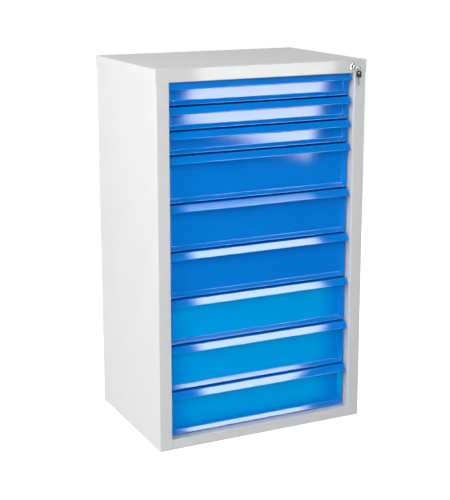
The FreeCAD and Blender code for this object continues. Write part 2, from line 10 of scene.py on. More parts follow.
import bmesh
import bpy
import numpy as np
from bpy.props import FloatProperty, FloatVectorProperty, IntProperty, PointerProperty
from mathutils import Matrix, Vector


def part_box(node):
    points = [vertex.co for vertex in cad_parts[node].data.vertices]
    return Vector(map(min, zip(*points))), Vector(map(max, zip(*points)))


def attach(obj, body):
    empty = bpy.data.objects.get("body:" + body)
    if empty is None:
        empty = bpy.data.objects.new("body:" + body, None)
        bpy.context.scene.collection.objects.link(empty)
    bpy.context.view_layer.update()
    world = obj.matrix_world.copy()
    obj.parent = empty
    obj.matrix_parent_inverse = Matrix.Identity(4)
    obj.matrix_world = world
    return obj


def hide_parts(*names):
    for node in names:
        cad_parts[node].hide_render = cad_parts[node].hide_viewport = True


bl_info = {
    "name": "Drawer cabinet",
    "version": (1, 0, 0),
    "blender": (4, 5, 0),
    "location": "3D View > Sidebar > Cabinet",
    "description": "Builds the painted sheets, drawer fronts, lock and keys of a drawer cabinet",
    "category": "Object",
}

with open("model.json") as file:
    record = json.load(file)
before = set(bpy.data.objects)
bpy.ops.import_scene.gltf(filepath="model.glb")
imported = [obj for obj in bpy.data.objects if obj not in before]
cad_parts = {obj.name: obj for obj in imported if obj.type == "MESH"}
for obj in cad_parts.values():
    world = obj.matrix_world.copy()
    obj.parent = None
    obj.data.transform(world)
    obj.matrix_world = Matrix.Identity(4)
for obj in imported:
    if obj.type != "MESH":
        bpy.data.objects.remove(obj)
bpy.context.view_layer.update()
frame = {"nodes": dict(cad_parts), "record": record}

DRAWERS = sorted(name.removesuffix("_front") for name in frame["nodes"]
                 if name.startswith("drawer_") and name.endswith("_front"))
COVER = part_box("top_cover")
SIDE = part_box("right_side_panel")
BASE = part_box("base_tray")
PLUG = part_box("lock_plug")
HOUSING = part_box("lock_housing")
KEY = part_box("lock_key")
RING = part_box("key_ring")
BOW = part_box("spare_key_bow")
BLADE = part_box("spare_key_blade")
WELD = 1e-6                       # vertices nearer than this are one
SHARP = math.radians(32.0)        # edges that turn more than this stay crisp
CLEAR = 1e-5                      # step between two widths of one sheet


# ---------------------------------------------------------------- settings
def metres(name, description, default):
    """A setting in metres."""
    return FloatProperty(name=name, description=description, default=default, unit="LENGTH")


def swatch(name, description, default):
    """A setting that holds a linear colour."""
    return FloatVectorProperty(
        name=name, description=description, subtype="COLOR", size=3, min=0.0, max=1.0, default=default)


def degrees(name, description, default):
    """A setting that holds an angle, with its default in degrees."""
    return FloatProperty(name=name, description=description, subtype="ANGLE", default=math.radians(default))


def watts(name, description, default):
    """A lamp's power."""
    return FloatProperty(name=name, description=description, subtype="POWER", default=default)


def brightness(name, description, default):
    """A brightness, where 1 is white."""
    return FloatProperty(name=name, description=description, default=default, min=0.0)


class CABINET_PG_sheet(bpy.types.PropertyGroup):
    """Sizes of the folded sheets."""
    casing_sheet: metres("Casing sheet", "Thickness of the casing's steel", 0.0012)
    casing_bend: metres("Casing bend", "Inside radius of a fold in the casing", 0.0016)
    stile_width: metres("Stile width", "Face of each front stile", SIDE[1].x - SIDE[0].x)
    stile_return: metres("Stile return", "Inner fold of a stile, going back", 0.038)
    rear_flange: metres("Rear flange", "Fold at the back of a side panel", 0.022)
    cover_skirt: metres("Cover skirt", "Side and rear skirts of the cover", 0.036)
    fascia_return: metres("Fascia return", "Fold under the fascia, going back", 0.020)
    rail_return: metres("Rail return", "Top of the bottom rail, going back", 0.050)
    notch_width: metres("Rail notch", "Open corner between the rail's top and a stile", 0.008)
    notch_start: metres("Notch start", "Front of the casing to that corner", 0.020)
    base_flange: metres("Base flange", "Height of the base sheet's side folds", 0.026)
    link_hole_radius: metres("Link hole", "Radius of the hole low in each side", 0.00275)
    link_hole_height: metres("Link hole height", "Floor to the hole in each side", 0.013)
    bolt_radius: metres("Floor bolt hole", "Radius of the holes in the base", 0.0045)
    bolt_span_x: metres("Bolt span, width", "Floor bolts apart, side to side", 0.585)
    bolt_span_y: metres("Bolt span, depth", "Floor bolts apart, front to back", 0.380)


class CABINET_PG_front(bpy.types.PropertyGroup):
    """Sizes of a pressed drawer front."""
    sheet: metres("Sheet", "Thickness of a front's steel", 0.0015)
    bevel_width: metres("Bevel width", "Sloping border, seen from the front", 0.014)
    bevel_depth: metres("Bevel depth", "How far the border comes forward", 0.011)
    pan_depth: metres("Pan depth", "Flat panel to the tray behind it", 0.014)
    pan_return: metres("Pan return", "Inward fold behind the front", 0.014)
    rim_radius: metres("Rim radius", "Inside radius of the fold round the rim", 0.0006)
    crease_radius: metres("Crease radius", "Radius where the bevel meets the panel", 0.0026)
    margin: metres("Panel margin", "Rim to the flat panel's own grid", 0.026)
    lip_shelf: metres("Lip shelf", "Panel to the top edge of the handle lip", 0.018)
    lip_height: metres("Lip height", "Height of the handle lip", 0.022)
    lip_reach: metres("Lip reach", "Panel to the bottom edge of the handle lip", 0.032)
    lip_hem: metres("Lip hem", "Fold under the handle lip", 0.006)
    lip_bend: metres("Lip bend", "Inside radius of the lip's folds", 0.0012)
    lip_corner: metres("Lip corner", "Radius of the lip's lower corners", 0.008)


class CABINET_PG_key(bpy.types.PropertyGroup):
    """Sizes of the lock, its key, the split ring and the spare key."""
    plug_radius: metres("Plug radius", "Turning part of the lock", 0.0065)
    running_gap: metres("Running gap", "Plug to its housing", 0.00005)
    flange_step: metres("Flange step", "Flange past the barrel", 0.0012)
    tail_radius: metres("Tail radius", "Rear end of the plug", 0.003)
    edge: metres("Edge", "Rounding of the metal edges", 0.0004)
    bow_length: metres("Bow length", "Bow of the key in the lock", 0.017)
    bow_radius: metres("Bow radius", "Corners of that bow", 0.0065)
    web: metres("Bow rim", "Metal round the hole of that bow", 0.0026)
    neck_width: metres("Neck width", "Between the bow and the lock", 0.009)
    shoulder: metres("Shoulder", "Stop of the key in front of the lock", 0.0015)
    blade_width: metres("Blade width", "Both keys' blades", 0.0074)
    blade_thick: metres("Blade thickness", "Both keys' blades", 0.002)
    ring_wire: metres("Ring wire", "Radius of one turn of the split ring", 0.00042)
    solid_wire: metres("Ring section", "Radius of the packed ring's section", 0.0008)
    ring_turn: degrees("Ring turn", "Ring's plane from the front plane", 30.0)
    spare_width: metres("Spare bow width", "Moulded bow", 0.018)
    spare_thick: metres("Spare bow thickness", "Moulded bow", 0.003)
    spare_radius: metres("Spare bow radius", "Corners of the moulded bow", 0.006)
    spare_web: metres("Spare bow web", "Bow above its hole", 0.0035)
    spare_edge: metres("Spare bow edge", "Rounding of the moulded edges", 0.0006)
    hole_radius: metres("Spare bow hole", "Hole that the ring passes", 0.0036)
    recess: metres("Grip recess", "Depth of the moulded bow's grip", 0.0005)
    cut_pitch: metres("Cut pitch", "One cut of the blade to the next", 0.0034)
    cut_depth: metres("Cut depth", "Deepest cut of the blade", 0.0019)
    groove: metres("Groove", "Depth of the blade's groove", 0.0004)


class CABINET_PG_finish(bpy.types.PropertyGroup):
    """Colours of the finishes."""
    grey: swatch("Casing paint", "Light grey of the casing", (0.64, 0.65, 0.645))
    blue: swatch("Drawer paint", "Blue of the drawers", (0.0, 0.215, 0.74))
    zinc: swatch("Zinc", "Bright zinc plate of the slides", (0.62, 0.63, 0.64))
    chrome: swatch("Chrome", "Plating of the lock", (0.80, 0.80, 0.80))
    nickel: swatch("Nickel", "Plating of the keys", (0.44, 0.43, 0.41))
    black: swatch("Black plastic", "Moulded bow of the spare key", (0.02, 0.02, 0.021))


class CABINET_PG_stage(bpy.types.PropertyGroup):
    """Camera, floor and lamps."""
    lens: FloatProperty(
        name="Lens", description="Focal length over a 36 mm sensor", default=86.511, unit="CAMERA")
    shift: FloatProperty(
        name="Shift", description="Vertical lens shift", default=-0.10)
    place: FloatVectorProperty(
        name="Camera", description="Where the camera stands", subtype="TRANSLATION", size=3,
        default=(-1.7197, -3.5016, 1.5583))
    yaw: degrees("Yaw", "Camera turned to the right", 25.954)
    pitch: degrees("Pitch", "Camera tilted down", 12.024)
    box_power: watts("Front soft box", "Lamp in front and to the left", 48.0)
    side_power: watts("Side soft box", "Lamp beside the left panel", 83.0)
    rear_power: watts("Rear soft box", "Lamp behind and to the right", 70.0)
    # Painted highlight: a glowing card seen only in reflections, shaped as a soft box where no lamp stands.
    highlight_shine: brightness("Painted highlight", "Brightness of the painted soft-box highlight", 14.2)
    highlight_soft: metres("Painted highlight edge", "Width of its soft edge", 0.09)
    # Painted dark reflection: the cards' dark glow, seen only in reflections, in place of the white room and
    # pale floor.
    painted_dark_reflection: brightness("Painted dark reflection", "Brightness of the painted dark reflection round the highlight", 0.04)
    # Painted cyan reflection: a cyan glow on the floor in front of the drawers, seen only in reflections; the
    # floor itself is pale grey.
    cyan_reflection_shine: brightness("Painted cyan reflection", "Brightness of the painted cyan reflection on the lower drawers", 3.0)
    cyan_reflection_tint: swatch("Painted reflection tint", "Colour of the painted cyan reflection on the lower drawers", (0.0, 1.0, 0.8))
    fill: brightness("Fill", "Brightness of the room for diffuse light", 0.324)
    floor_lift: brightness("Floor lift", "White added to the floor where it is seen", 0.6)
    steps: IntProperty(
        name="Backdrop steps", description="Divisions of the floor", default=2, min=1)


# ---------------------------------------------------------------- shapes
def turned_by(vectors, angle):
    """Plane vectors turned by angles: x' = x cos a - y sin a, y' = x sin a + y cos a."""
    c, s = np.cos(angle), np.sin(angle)
    x, y = vectors[..., 0], vectors[..., 1]
    return np.stack([x * c - y * s, x * s + y * c], -1)


def folded_section(path, sheet, bends, steps=6):
    """Both faces of a folded sheet in section, as matched lines of points.

    The path is the outer face and the sheet lies to its left. At each corner both faces turn about one
    centre, which lies where the two runs, moved inwards by the face's radius, cross. The spokes from that
    centre are stepped evenly through the angle of the turn.
    """
    path = np.asarray(path, float)
    runs = np.diff(path, axis=0)
    runs /= np.linalg.norm(runs, axis=1)[:, None]
    left = np.stack([-runs[:, 1], runs[:, 0]], 1)
    outer, inner = [path[:1]], [path[:1] + left[0] * sheet]
    for k in range(1, len(path) - 1):
        bend = bends[k - 1] if np.ndim(bends) else bends
        before, after = runs[k - 1], runs[k]
        along = float(before @ after)
        turn = math.atan2(before[0] * after[1] - before[1] * after[0], along)
        if abs(turn) < 1e-6:
            outer.append(path[k:k + 1])
            inner.append(path[k:k + 1] + left[k] * sheet)
            continue
        way = math.copysign(1.0, turn)
        reach = bend + sheet if way > 0 else bend
        centre = path[k] + (left[k - 1] + left[k]) * way * reach / (1.0 + along)
        spokes = turned_by(-way * left[k - 1], np.linspace(0.0, turn, steps + 1))
        outer.append(centre + spokes * reach)
        inner.append(centre + spokes * (reach - way * sheet))
    outer.append(path[-1:])
    inner.append(path[-1:] + left[-1] * sheet)
    return np.concatenate(outer), np.concatenate(inner)


def grid_faces(rows, columns, wrap=False):
    """Four-cornered faces of a grid of rows by columns, closed across the columns if it wraps."""
    index = np.arange(rows * columns).reshape(rows, columns)
    right = np.roll(index, -1, axis=1)
    stop = columns if wrap else columns - 1
    faces = np.stack([index[:-1, :stop], right[:-1, :stop], right[1:, :stop], index[1:, :stop]], -1)
    return faces.reshape(-1, 4)


def carried_sheet(outer, inner, place, stations):
    """A sheet section carried along stations: place(points, station) gives each point's position.

    The section's two faces make one closed loop, the loops make a tube, and a strip between the two faces
    closes each end.
    """
    loop = np.concatenate([outer, inner[::-1]])
    points = np.stack([place(loop, station) for station in stations])
    count, around = points.shape[:2]
    half = len(outer)
    near = np.stack([np.arange(half - 1), np.arange(1, half), around - 2 - np.arange(half - 1),
                     around - 1 - np.arange(half - 1)], -1)
    far = near[:, ::-1] + (count - 1) * around
    return points.reshape(-1, 3), np.concatenate([grid_faces(count, around, wrap=True), near, far])


def box_patch(low, high):
    """A closed box: its eight corners are the products of the two limits along each axis."""
    corners = np.array(np.meshgrid([0, 1], [0, 1], [0, 1], indexing="ij")).reshape(3, 8).T
    points = np.asarray(low) + corners * (np.asarray(high) - np.asarray(low))
    faces = np.array([[0, 1, 3, 2], [4, 6, 7, 5], [0, 4, 5, 1], [2, 3, 7, 6], [0, 2, 6, 4], [1, 5, 7, 3]])
    return points, faces


def lofted(loops, closed=False):
    """Loops of equal length joined in order: point k of one to point k of the next.

    A closed loft also joins the last loop to the first. Otherwise a fan of triangles runs from each end loop
    to its mean point, and a triangle is written as four corners with the last one twice.
    """
    loops = np.asarray(loops, float)
    count, around = loops.shape[:2]
    points = loops.reshape(-1, 3)
    faces = grid_faces(count, around, wrap=True)
    near = np.arange(around)
    near_next = np.roll(near, -1)
    far, far_next = near + (count - 1) * around, near_next + (count - 1) * around
    if closed:
        return points, np.concatenate([faces, np.stack([far, far_next, near_next, near], -1)])
    ends = np.stack([loops[0].mean(axis=0), loops[-1].mean(axis=0)])
    first, last = np.full(around, len(points)), np.full(around, len(points) + 1)
    fans = [np.stack([first, near_next, near, near], -1), np.stack([last, far, far_next, far_next], -1)]
    return np.concatenate([points, ends]), np.concatenate([faces, *fans])


def flat_loop(outline, level, axis):
    """A plane outline at one level along an axis: its two coordinates fill the other two axes in order."""
    return np.insert(outline, axis, level, axis=1)


def rounded_rectangle(half_x, half_y, radius, steps=6):
    """Corner arcs of a rounded rectangle: each is its centre plus the radius at evenly stepped angles."""
    angles = np.linspace(0.0, math.pi / 2, steps + 1)
    quarter = np.arange(4)[:, None]
    theta = (quarter * math.pi / 2 + angles[None, :]).ravel()
    signs = np.repeat(np.array([(1, 1), (-1, 1), (-1, -1), (1, -1)]), steps + 1, axis=0)
    centres = signs * np.array([half_x - radius, half_y - radius])
    return centres + radius * np.stack([np.cos(theta), np.sin(theta)], 1)


def round_cutter(radius, centre, axis, ends):
    """A closed rod along an axis between two ends, about a centre given in the other two axes."""
    ring = rounded_rectangle(radius, radius, radius) + np.asarray(centre)
    return lofted([flat_loop(ring, end, axis) for end in ends])


def lathe(profile, centre, steps=64):
    """A profile of (radius, y) turned about a line along Y through the centre.

    At an angle a, x = cx + r cos a and z = cz + r sin a.
    """
    profile = np.asarray(profile, float)
    angles = np.linspace(0.0, 2 * math.pi, steps, endpoint=False)
    x = centre[0] + profile[:, :1] * np.cos(angles)
    z = centre[1] + profile[:, :1] * np.sin(angles)
    y = np.repeat(profile[:, 1:], steps, axis=1)
    return np.stack([x, y, z], -1)


# ---------------------------------------------------------------- meshes
def joined(patches):
    """Patches of points and faces as one list of points and one list of faces."""
    points, faces, start = [], [], 0
    for patch_points, patch_faces in patches:
        points.append(patch_points)
        faces.append(patch_faces + start)
        start += len(patch_points)
    return np.concatenate(points), np.concatenate(faces)


def welded_mesh(name, patches):
    """A mesh from patches: doubles merged, faces with no area dropped and the rest turned outwards."""
    points, faces = joined(patches)
    keep = [tuple(dict.fromkeys(face)) for face in faces.tolist()]
    mesh = bpy.data.meshes.new(name)
    mesh.from_pydata(points.tolist(), [], [face for face in keep if len(face) > 2])
    work = bmesh.new()
    work.from_mesh(mesh)
    bmesh.ops.remove_doubles(work, verts=work.verts, dist=WELD)
    bmesh.ops.recalc_face_normals(work, faces=work.faces)
    work.to_mesh(mesh)
    work.free()
    return mesh


def add_object(name, data):
    """A new object in the scene's own collection."""
    made = bpy.data.objects.new(name, data)
    bpy.context.scene.collection.objects.link(made)
    return made


def drilled(mesh, cutter_patches):
    """The mesh with each closed cutter taken away from it."""
    solid = add_object("drilled_sheet", mesh)
    cutter = add_object("drill", welded_mesh("drill", cutter_patches))
    cut = solid.modifiers.new("holes", "BOOLEAN")
    cut.object = cutter
    cut.operation = "DIFFERENCE"
    cut.solver = "EXACT"
    bpy.context.view_layer.update()
    depsgraph = bpy.context.evaluated_depsgraph_get()
    result = bpy.data.meshes.new_from_object(solid.evaluated_get(depsgraph))
    result.name = mesh.name
    for part in (solid, cutter):
        bpy.data.objects.remove(part)
    return result


def add_piece(name, patches, body, slot_name, nodes, cutters=()):
    """A piece at the origin with smooth shading and crisp sheet edges, which stands for its nodes."""
    mesh = welded_mesh(name, patches)
    if cutters:
        mesh = drilled(mesh, cutters)
    piece = add_object(name, mesh)
    mesh.materials.clear()
    mesh.materials.append(bpy.data.materials[slot_name])
    mesh.shade_smooth()
    mesh.set_sharp_from_angle(angle=SHARP)
    weighted = piece.modifiers.new("even_shading", "WEIGHTED_NORMAL")
    weighted.keep_sharp = True
    weighted.weight = 80
    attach(piece, body)
    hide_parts(*nodes)
    return piece


# ---------------------------------------------------------------- materials
PATTERN_RANGE = (0.3, 0.7)        # most of a pattern's values
MOTTLE_SCALE = 9.0                # cells per metre: uneven colour of the paint
PEEL_SCALE = 420.0                # orange peel
GRIT_SCALE = 1400.0               # dust in the paint
SHEET_SCALE = 3.2                 # slow waves of the sheet
LINE_SCALE = 600.0                # drawing lines of plated steel
PLATE_CLOUD_SCALE = 60.0          # uneven gloss of plated steel
PLASTIC_CLOUD_SCALE = 150.0       # uneven gloss of plastic
GRAIN_SCALE = 2600.0              # spark-eroded grain of plastic
PEEL_HEIGHT = 0.00004
GRIT_HEIGHT = 0.00001
LINE_HEIGHT = 0.00002
GRAIN_HEIGHT = 0.00003


def add_node(tree, kind, inputs=(), **settings):
    """A node with its settings, its inputs set to values or joined to other nodes' outputs."""
    node = tree.nodes.new(kind)
    for name, value in settings.items():
        setattr(node, name, value)
    for name, value in dict(inputs).items():
        if isinstance(value, bpy.types.NodeSocket):
            tree.links.new(value, node.inputs[name])
        else:
            node.inputs[name].default_value = value
    return node


def empty_material(name):
    """A material with an empty node tree."""
    material = bpy.data.materials.get(name) or bpy.data.materials.new(name)
    material.use_nodes = True
    material.node_tree.nodes.clear()
    return material, material.node_tree


def surfaced(tree, shader):
    """Joins a shader's output to the material's surface."""
    add_node(tree, "ShaderNodeOutputMaterial", {"Surface": shader.outputs[0]})


def pattern(tree, kind, scale, stretch=(1.0, 1.0, 1.0), detail=2.0):
    """A noise or cell pattern on Object coordinates: its cells are one over the scale across, in metres."""
    place = add_node(tree, "ShaderNodeTexCoord")
    turn = add_node(tree, "ShaderNodeMapping", {"Scale": stretch, "Vector": place.outputs["Object"]})
    texture = add_node(tree, kind, {"Scale": scale, "Vector": turn.outputs["Vector"]})
    if "Detail" in texture.inputs:
        texture.inputs["Detail"].default_value = detail
    return texture.outputs["Fac"] if "Fac" in texture.outputs else texture.outputs["Distance"]


def spread(tree, value, low, high):
    """A pattern's value, which mostly lies in the middle of 0 to 1, moved to another range."""
    start, end = PATTERN_RANGE
    ranged = add_node(tree, "ShaderNodeMapRange", {
        "From Min": start, "From Max": end, "To Min": low, "To Max": high, "Value": value})
    return ranged.outputs["Result"]


def tint(tree, value, colour, change):
    """A colour that a pattern darkens and lightens by a small share."""
    low = [channel * (1.0 - change) for channel in colour]
    high = [min(1.0, channel * (1.0 + change)) for channel in colour]
    ramp = add_node(
        tree, "ShaderNodeMix", {"A": (*low, 1.0), "B": (*high, 1.0), "Factor": value}, data_type="RGBA")
    return ramp.outputs["Result"]


def bumped(tree, layers):
    """A chain of bumps: each layer is a pattern, its height in metres and its strength."""
    normal = {}
    for value, height, strength in layers:
        bump = add_node(
            tree, "ShaderNodeBump", {"Distance": height, "Strength": strength, "Height": value, **normal})
        normal = {"Normal": bump.outputs["Normal"]}
    return normal["Normal"]


def paint(name, colour, gloss, coat, wave):
    """Baked enamel on steel: a gloss coat over orange peel, sheet that is not quite flat, faint mottling."""
    tree = empty_material(name)[1]
    mottle = pattern(tree, "ShaderNodeTexNoise", MOTTLE_SCALE, detail=4.0)
    peel = pattern(tree, "ShaderNodeTexNoise", PEEL_SCALE, detail=1.0)
    grit = pattern(tree, "ShaderNodeTexNoise", GRIT_SCALE, detail=2.0)
    sheet = pattern(tree, "ShaderNodeTexNoise", SHEET_SCALE, detail=0.0)
    normal = bumped(tree, [(sheet, wave, 1.0), (peel, PEEL_HEIGHT, 0.25), (grit, GRIT_HEIGHT, 0.15)])
    surfaced(tree, add_node(tree, "ShaderNodeBsdfPrincipled", {
        "Base Color": tint(tree, mottle, colour, 0.025),
        "Roughness": spread(tree, grit, gloss * 0.85, gloss * 1.2),
        "Normal": normal, "Coat Normal": normal, "Coat Weight": coat, "Coat Roughness": 0.04, "Coat IOR": 1.5,
        "IOR": 1.5, "Specular IOR Level": 0.0, "Metallic": 0.0}))


def plated(name, colour, rough, stretch, change=0.06, cells=0.0):
    """Plated steel: fine lines along the drawing direction and, on zinc, faint crystal cells."""
    tree = empty_material(name)[1]
    lines = pattern(tree, "ShaderNodeTexNoise", LINE_SCALE, stretch=stretch, detail=3.0)
    cloud = pattern(tree, "ShaderNodeTexNoise", PLATE_CLOUD_SCALE, detail=3.0)
    base = pattern(tree, "ShaderNodeTexVoronoi", cells) if cells else cloud
    surfaced(tree, add_node(tree, "ShaderNodeBsdfPrincipled", {
        "Base Color": tint(tree, base, colour, change),
        "Roughness": spread(tree, cloud, rough * 0.8, rough * 1.3),
        "Normal": bumped(tree, [(lines, LINE_HEIGHT, 0.3)]), "Metallic": 1.0}))


def moulded(name, colour):
    """Moulded plastic: a fine spark-eroded grain and slightly uneven gloss."""
    tree = empty_material(name)[1]
    grain = pattern(tree, "ShaderNodeTexVoronoi", GRAIN_SCALE)
    cloud = pattern(tree, "ShaderNodeTexNoise", PLASTIC_CLOUD_SCALE, detail=3.0)
    surfaced(tree, add_node(tree, "ShaderNodeBsdfPrincipled", {
        "Base Color": tint(tree, cloud, colour, 0.25), "Roughness": spread(tree, cloud, 0.30, 0.42),
        "Normal": bumped(tree, [(grain, GRAIN_HEIGHT, 0.35)]), "IOR": 1.5, "Metallic": 0.0}))


class CABINET_OT_finishes(bpy.types.Operator):
    """Make the paints, platings and plastic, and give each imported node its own"""
    bl_idname = "cabinet.finishes"
    bl_label = "Finishes"

    def execute(self, context):
        colours = context.scene.cabinet_finish
        paint("grey_paint", colours.grey, 0.30, 0.41, 0.0006)
        paint("blue_paint", colours.blue, 0.30, 1.0, 0.0006)
        plated("zinc_steel", colours.zinc, 0.34, (1.0, 0.03, 1.0), cells=180.0)
        plated("chrome_plate", colours.chrome, 0.035, (1.0, 1.0, 1.0))
        plated("nickel_steel", colours.nickel, 0.16, (0.05, 1.0, 1.0))
        moulded("black_plastic", colours.black)
        for part in frame["record"]["subparts"]:
            node = frame["nodes"][part["node"]]
            node.data.materials.clear()
            node.data.materials.append(bpy.data.materials[part["material_slot"]])
        return {"FINISHED"}


# ---------------------------------------------------------------- casing
PAST_SIDE = 5                     # reach of a cutter past a side panel's face, in sheets
PAST_BASE = 3                     # reach of a cutter past the base sheet's face, in sheets


class CABINET_OT_sides(bpy.types.Operator):
    """Fold the two side panels with their stiles, returns and rear flanges"""
    bl_idname = "cabinet.sides"
    bl_label = "Side panels"

    def execute(self, context):
        size = context.scene.cabinet_sheet
        outer_x, front, back = SIDE[1].x, SIDE[0].y, SIDE[1].y
        stile_top, top = COVER[0].z, SIDE[1].z
        inner_x = outer_x - size.stile_width
        lower = folded_section(
            [(inner_x, front + size.stile_return), (inner_x, front), (outer_x, front), (outer_x, back),
             (outer_x - size.rear_flange, back)],
            size.casing_sheet, size.casing_bend)
        upper = folded_section(
            [(outer_x, front + size.casing_sheet), (outer_x, back), (outer_x - size.rear_flange, back)],
            size.casing_sheet, size.casing_bend)
        for name, way in (("right", 1.0), ("left", -1.0)):
            def place(points, level):
                return flat_loop(points * (way, 1.0), level, 2)
            patches = [carried_sheet(*lower, place, (0.0, stile_top)),
                       carried_sheet(*upper, place, (stile_top, top))]
            past = PAST_SIDE * size.casing_sheet
            cutter = round_cutter(size.link_hole_radius, (0.0, size.link_hole_height), 0,
                                  (way * outer_x - past, way * outer_x + past))
            add_piece(name + "_side_sheet", patches, "cabinet", "grey_paint", [name + "_side_panel"],
                      [cutter])
        return {"FINISHED"}


class CABINET_OT_cover(bpy.types.Operator):
    """Press the top cover: rounded edges, skirts, the fascia and the fold under it"""
    bl_idname = "cabinet.cover"
    bl_label = "Top cover"

    def execute(self, context):
        size = context.scene.cabinet_sheet
        sheet, bend = size.casing_sheet, size.casing_bend
        half, front, back = COVER[1].x, COVER[0].y, COVER[1].y
        low, top = COVER[0].z, COVER[1].z
        skirt_low = top - size.cover_skirt
        middle, half_depth = (front + back) / 2, (back - front) / 2

        def loop(corner_radius, level):
            """A rounded rectangle about the corners' shared centres, at one level."""
            grown = corner_radius - bend - sheet
            ring = rounded_rectangle(half + grown, half_depth + grown, corner_radius)
            return flat_loop(ring + (0.0, middle), level, 2)

        angles = np.linspace(0.0, math.pi / 2, 7)
        skin = []
        for radius in (bend + sheet, bend):
            level = top - (bend + sheet)
            skin.append([loop(radius * math.sin(a), level + radius * math.cos(a)) for a in angles])
        outside = skin[0] + [loop(bend + sheet, skirt_low)]
        inside = [loop(bend, skirt_low)] + skin[1][::-1]
        patches = [lofted(outside + inside)]
        opening = SIDE[0].x
        fold = folded_section(
            [(front, skirt_low), (front, low), (front + size.fascia_return, low)], sheet, bend)
        patches.append(carried_sheet(*fold, lambda points, x: flat_loop(points, x, 0), (-opening, opening)))
        reach = bend + sheet
        corner = np.linspace(0.0, math.acos(1.0 - sheet / reach), 4)
        end = np.column_stack([half - reach + reach * np.sin(corner), front + reach - reach * np.cos(corner)])
        outline = np.concatenate([[(opening, front + sheet), (opening, front)], end])
        for way in (-1.0, 1.0):
            patches.append(lofted([flat_loop(outline * (way, 1.0), z, 2) for z in (low, skirt_low)]))
        add_piece("cover_sheet", patches, "cabinet", "grey_paint", ["top_cover"])
        return {"FINISHED"}


class CABINET_OT_base(bpy.types.Operator):
    """Fold the base sheet: bottom rail with its notched top, floor, flanges and bolt holes"""
    bl_idname = "cabinet.base"
    bl_label = "Base and bottom rail"

    def execute(self, context):
        size = context.scene.cabinet_sheet
        sheet = size.casing_sheet
        front, back, rail_top, half = BASE[0].y, BASE[1].y, BASE[1].z, BASE[1].x
        opening = SIDE[0].x
        stile_back = SIDE[0].y + size.stile_return
        notch = front + size.notch_start
        section = folded_section(
            [(front + size.rail_return, rail_top), (notch + CLEAR, rail_top), (notch, rail_top),
             (front, rail_top), (front, 0.0), (stile_back, 0.0)],
            sheet, size.casing_bend)

        def place(points, side):
            """The rail's half-width steps in behind the notch, on its top fold only."""
            cut = (points[:, 0] > notch + CLEAR / 2) & (points[:, 1] > rail_top / 2)
            reach = np.where(cut, opening - size.notch_width, opening)
            return np.column_stack([side * reach, points])

        patches = [carried_sheet(*section, place, (-1.0, 1.0))]
        patches.append(box_patch((-half, stile_back, 0.0), (half, back, sheet)))
        patches.append(box_patch((-half, back - sheet, sheet), (half, back, rail_top - sheet)))
        for way in (-1.0, 1.0):
            left, right = sorted((way * half, way * (half - sheet)))
            patches.append(box_patch((left, stile_back, sheet), (right, back - sheet, size.base_flange)))
        past = PAST_BASE * sheet
        cutters = [round_cutter(size.bolt_radius, (x, y), 2, (-past, past))
                   for x in (-size.bolt_span_x / 2, size.bolt_span_x / 2)
                   for y in (-size.bolt_span_y / 2, size.bolt_span_y / 2)]
        cutters += [round_cutter(size.link_hole_radius, (0.0, size.link_hole_height), 0,
                                 (way * half - past, way * half + past)) for way in (-1.0, 1.0)]
        add_piece("base_sheet", patches, "cabinet", "grey_paint", ["base_tray"], cutters)
        return {"FINISHED"}


# ---------------------------------------------------------------- drawers
def pan_patches(size, half, low, high, panel, rim, back):
    """A pressed pan, without its top edge.

    Its section runs from the fold behind it round the rim and down the bevel. It is carried along a U: down
    the left edge, along the bottom and up the right edge, mitred at the corners. For a station (s, t) of the
    U, a point of the section at inset d lies at x = s (half - d), z = top + t (low + d - top). The flat panel
    fills the U with a grid of the same stations.
    """
    sheet = size.sheet
    top = high - sheet
    section = folded_section(
        [(size.pan_return, back), (0.0, back), (0.0, rim), (size.bevel_width, panel), (size.margin, panel)],
        sheet, (size.rim_radius, size.rim_radius, size.crease_radius))
    down = np.linspace(0.0, 1.0, 5)
    across = np.linspace(-1.0, 1.0, 13)
    stations = [(-1.0, t) for t in down] + [(s, 1.0) for s in across[1:]] + [(1.0, t) for t in down[::-1][1:]]

    def place(points, station):
        inset, depth = points[:, 0], points[:, 1]
        return np.column_stack([station[0] * (half - inset), depth, top + station[1] * (low + inset - top)])

    points, faces = carried_sheet(*section, place, stations)
    around = 2 * len(section[0])
    seam = {len(section[0]) - 1, len(section[0])}
    kept = [face for face in faces.tolist() if not seam <= {corner % around for corner in face}
            or len({corner // around for corner in face}) == 1]
    edge = size.margin
    s, t = np.meshgrid(across, down)
    grid_x = s * (half - edge)
    grid_z = top + t * (low + edge - top)
    patches = [(points, np.array(kept))]
    for depth in (panel, panel + sheet):
        patches.append((np.stack([grid_x, np.full_like(s, depth), grid_z], -1).reshape(-1, 3),
                        grid_faces(*s.shape)))
    ends = np.stack([grid_x[0], np.full(len(across), panel), grid_z[0]], -1)
    rear = ends + np.array([0.0, sheet, 0.0])
    patches.append((np.concatenate([ends, rear]), grid_faces(2, len(across))))
    return patches


def lip_patch(size, half, high, panel, back):
    """The shelf and the sloping handle lip: one folded section carried along x = s w.

    The half-width w follows a quarter circle round the lip's lower corners and steps in on the hidden fold
    behind the pan.
    """
    top_edge = panel - size.lip_shelf
    bottom_edge = panel - size.lip_reach
    low = high - size.lip_height
    section = folded_section(
        [(back, high - size.pan_return), (back, high), (top_edge, high), (bottom_edge, low),
         (bottom_edge + size.lip_hem, low)],
        size.sheet, (size.lip_bend, size.lip_bend, size.lip_bend / 2))

    def place(points, s):
        drop = np.clip(low + size.lip_corner - points[:, 1], 0.0, size.lip_corner)
        reach = half - size.lip_corner + np.sqrt(np.maximum(size.lip_corner ** 2 - drop ** 2, 0.0))
        hidden = (points[:, 0] > back - 1.5 * size.sheet) & (points[:, 1] < high - size.sheet)
        reach = np.where(hidden, half - size.pan_return, reach)
        reach = np.where(points[:, 0] > panel, np.where(hidden, reach, half), reach)
        return np.column_stack([s * reach, points])

    return carried_sheet(*section, place, np.linspace(-1.0, 1.0, 9))


